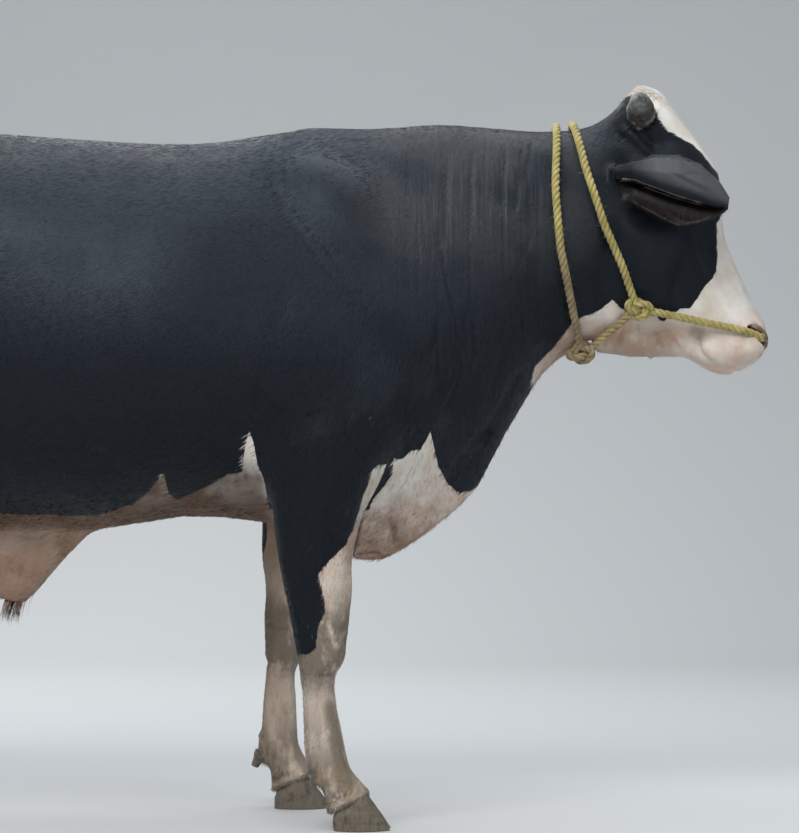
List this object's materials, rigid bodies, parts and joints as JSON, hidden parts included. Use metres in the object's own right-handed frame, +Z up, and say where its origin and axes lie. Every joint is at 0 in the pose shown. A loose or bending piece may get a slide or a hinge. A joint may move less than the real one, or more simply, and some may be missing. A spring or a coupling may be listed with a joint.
{
  "type": "bull",
  "caption": "Standing black and white bull with short horns, loose brisket and long sheath, wearing a rope halter.",
  "frame": {"origin": "on the floor under the middle of the body", "axes": "+X to the animal's front, along the body; +Y to its left side; +Z up"},
  "size_m": [2.5225, 0.7371, 1.5856],
  "materials": {
    "black_coat": "short glossy hair lying flat",
    "white_coat": "short hair, dusty",
    "pale_skin": "thinly haired pinkish skin",
    "horn": "worn horn",
    "claw": "muddy horn",
    "eye": "wet",
    "rope": "laid three-strand rope, weathered"
  },
  "bodies": {
    "root": {"barrel": "black_coat", "forequarters": "black_coat", "hindquarters": "black_coat", "neck": "black_coat", "dewlap": "black_coat", "head": "black_coat", "lower_jaw": "pale_skin", "ear_right": "black_coat", "ear_left": "black_coat", "horn_right": "horn", "horn_left": "horn", "eye_right": "eye", "eye_left": "eye", "sheath": "pale_skin", "scrotum": "pale_skin", "tail": "black_coat", "tail_switch": "white_coat", "foreleg_right_forearm": "black_coat", "foreleg_right_cannon": "white_coat", "foreleg_right_foot": "white_coat", "foreleg_left_forearm": "black_coat", "foreleg_left_cannon": "white_coat", "foreleg_left_foot": "white_coat", "hindleg_right_gaskin": "black_coat", "hindleg_right_cannon": "white_coat", "hindleg_right_foot": "white_coat", "hindleg_left_gaskin": "black_coat", "hindleg_left_cannon": "white_coat", "hindleg_left_foot": "white_coat", "claw_fore_right_inner": "claw", "claw_fore_right_outer": "claw", "claw_fore_left_inner": "claw", "claw_fore_left_outer": "claw", "claw_hind_right_inner": "claw", "claw_hind_right_outer": "claw", "claw_hind_left_inner": "claw", "claw_hind_left_outer": "claw", "dewclaw_fore_right_inner": "claw", "dewclaw_fore_right_outer": "claw", "dewclaw_fore_left_inner": "claw", "dewclaw_fore_left_outer": "claw", "dewclaw_hind_right_inner": "claw", "dewclaw_hind_right_outer": "claw", "dewclaw_hind_left_inner": "claw", "dewclaw_hind_left_outer": "claw", "neck_rope": "rope", "headstall_rope": "rope", "nose_rope": "rope", "jaw_rope_right": "rope", "jaw_rope_left": "rope", "cheek_knot_right": "rope", "cheek_knot_left": "rope", "throat_knot": "rope"}
  },
  "joints": []
}
